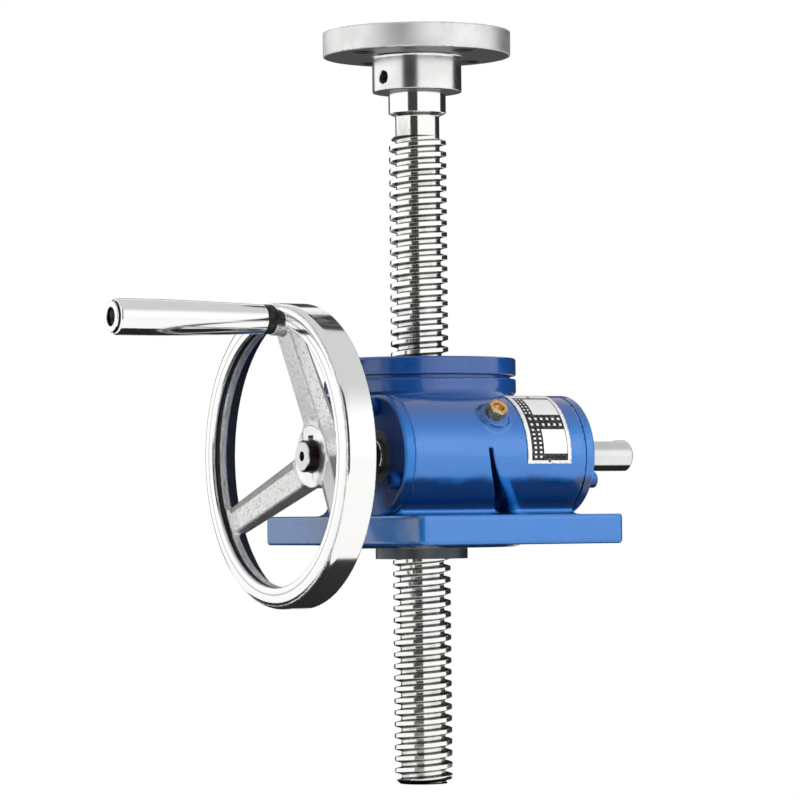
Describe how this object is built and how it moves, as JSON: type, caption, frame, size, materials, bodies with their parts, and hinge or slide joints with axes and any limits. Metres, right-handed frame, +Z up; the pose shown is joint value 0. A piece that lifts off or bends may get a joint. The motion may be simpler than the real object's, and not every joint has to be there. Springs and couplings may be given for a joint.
{
  "type": "worm screw jack",
  "caption": "Worm gear screw jack: a cranked handwheel and worm raise a trapezoidal screw with a round top flange out of a flanged base housing.",
  "frame": {"origin": "on the lifting screw's axis, in the plane of the base's underside, where the guide bush's ring starts", "axes": "+Z up along the lifting screw; X along the worm, with the handwheel at -X and the free shaft end at +X; the worm lies on the -Y side of the screw"},
  "size_m": [0.2969, 0.189, 0.3915],
  "materials": {
    "cast_paint": "glossy enamel",
    "ground_steel": "ground and turned",
    "bearing_steel": "ground",
    "polished_alloy": "polished",
    "black_oxide": "blackened",
    "brass": "turned",
    "bronze": "hobbed",
    "seal_rubber": "matt",
    "plate": "satin"
  },
  "bodies": {
    "base": {"housing": "cast_paint", "top_cover": "cast_paint", "cover_lock_screws": "black_oxide", "screw_wiper": "seal_rubber", "guide_bush": "ground_steel", "lower_housing_washer": "bearing_steel", "upper_housing_washer": "bearing_steel", "lower_thrust_balls": "bearing_steel", "upper_thrust_balls": "bearing_steel", "left_bearing_outer_ring": "bearing_steel", "left_bearing_balls": "bearing_steel", "right_bearing_outer_ring": "bearing_steel", "right_bearing_balls": "bearing_steel", "left_end_cover": "cast_paint", "right_end_cover": "cast_paint", "left_oil_seal": "seal_rubber", "right_oil_seal": "seal_rubber", "end_cover_screws": "cast_paint", "oil_plug": "brass", "nameplate": "plate"},
    "crank": {"worm_shaft": "ground_steel", "left_bearing_inner_ring": "bearing_steel", "right_bearing_inner_ring": "bearing_steel", "handwheel": "polished_alloy", "handwheel_key": "ground_steel", "hub_set_screw": "black_oxide", "handle_spindle": "ground_steel", "handle_collar": "black_oxide", "handle_end_screw": "black_oxide"},
    "handle": {"handle_sleeve": "polished_alloy"},
    "wheel": {"worm_wheel": "bronze", "lower_shaft_washer": "bearing_steel", "upper_shaft_washer": "bearing_steel"},
    "lift": {"lifting_screw": "ground_steel", "top_flange": "ground_steel", "flange_grub_screw": "black_oxide"}
  },
  "joints": [
    {"name": "worm_spin", "type": "hinge", "parent": "base", "child": "crank", "pos_m": [0, -0.051, 0.045], "axis": [1, 0, 0], "range_deg": [-144000, 180000]},
    {"name": "wheel_spin", "type": "hinge", "parent": "base", "child": "wheel", "pos_m": [0, 0, 0.045], "axis": [0, 0, 1], "range_deg": [-7500.5, 6000.5]},
    {"name": "screw_lift", "type": "slide", "parent": "base", "child": "lift", "axis": [0, 0, 1], "range_m": [-0.10001, 0.12501]},
    {"name": "handle_spin", "type": "hinge", "parent": "crank", "child": "handle", "pos_m": [-0.16, -0.051, 0.113], "axis": [1, 0, 0], "continuous": true}
  ],
  "couplings": [
    {"joint": "wheel_spin", "follows": "worm_spin", "ratio": -0.041667},
    {"joint": "screw_lift", "follows": "worm_spin", "m_per_rad": 0.000039789}
  ]
}
